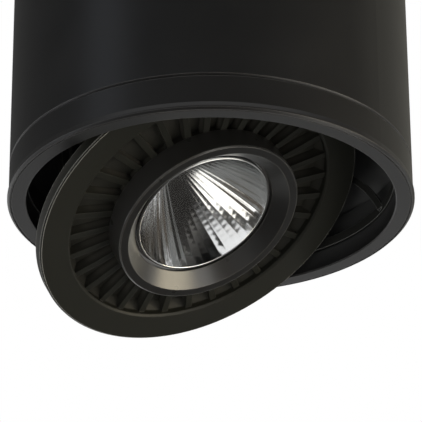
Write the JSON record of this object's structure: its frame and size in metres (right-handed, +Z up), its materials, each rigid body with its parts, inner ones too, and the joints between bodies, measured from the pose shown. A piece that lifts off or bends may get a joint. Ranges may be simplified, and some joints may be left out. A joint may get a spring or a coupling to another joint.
{
  "type": "ceiling spotlight",
  "caption": "Cylindrical surface-mounted ceiling spotlight; a finned head with conical bezel and fluted reflector tilts out of the rim and swivels.",
  "frame": {"origin": "centre of the face that meets the ceiling", "axes": "+Z up, into the ceiling; the head's beam leans towards +X and it tilts about a line along Y"},
  "size_m": [0.1208, 0.1208, 0.1406],
  "materials": {
    "housing_paint": "satin black powder coat",
    "trim_paint": "satin black powder coat",
    "head_paint": "matt black paint on a casting",
    "bezel_paint": "semi-gloss black paint",
    "carrier_paint": "matt black paint on a casting",
    "mirror": "bright anodised mirror, fluted",
    "zinc_plate": "dull zinc plate",
    "screw_steel": "plain",
    "black_screw": "black oxide",
    "spring_steel": "blued",
    "brass": "plain",
    "slip_plastic": "smooth, black filled plastic",
    "driver_plastic": "fine texture",
    "circuit_board": "lacquered",
    "terminal_plastic": "plain",
    "rubber": "matt",
    "pad_grey": "matt",
    "led_ceramic": "white board",
    "phosphor": "silicone over phosphor",
    "holder_plastic": "plain white"
  },
  "bodies": {
    "housing": {"ceiling_plate": "zinc_plate", "side_brackets": "zinc_plate", "cable_grommet": "rubber", "housing_tube": "housing_paint", "side_screws": "black_screw", "trim_ring": "trim_paint", "stop_pin": "screw_steel", "slip_washer": "slip_plastic", "retaining_ring": "spring_steel", "driver_case": "driver_plastic", "driver_lid": "driver_plastic", "driver_board": "circuit_board", "driver_screws": "screw_steel", "terminal_block": "terminal_plastic", "terminal_screws": "brass", "earth_screw": "zinc_plate"},
    "swivel": {"swivel_carrier": "carrier_paint"},
    "head": {"heat_sink": "head_paint", "guide_shoe_left": "brass", "guide_shoe_right": "brass", "clamp_plate_left": "spring_steel", "clamp_plate_right": "spring_steel", "clamp_screws": "screw_steel", "thermal_pad": "pad_grey", "led_board": "led_ceramic", "led_phosphor": "phosphor", "led_holder": "holder_plastic", "holder_screws": "screw_steel", "lead_grommet": "rubber", "bezel": "bezel_paint", "reflector": "mirror"}
  },
  "joints": [
    {"name": "head_swivel", "type": "hinge", "parent": "housing", "child": "swivel", "pos_m": [0, 0, 0], "axis": [0, 0, 1], "range_deg": [-175, 175]},
    {"name": "head_tilt", "type": "hinge", "parent": "swivel", "child": "head", "pos_m": [0, 0, -0.1211], "axis": [0, -1, 0], "range_deg": [-30.3, 9.7]}
  ]
}
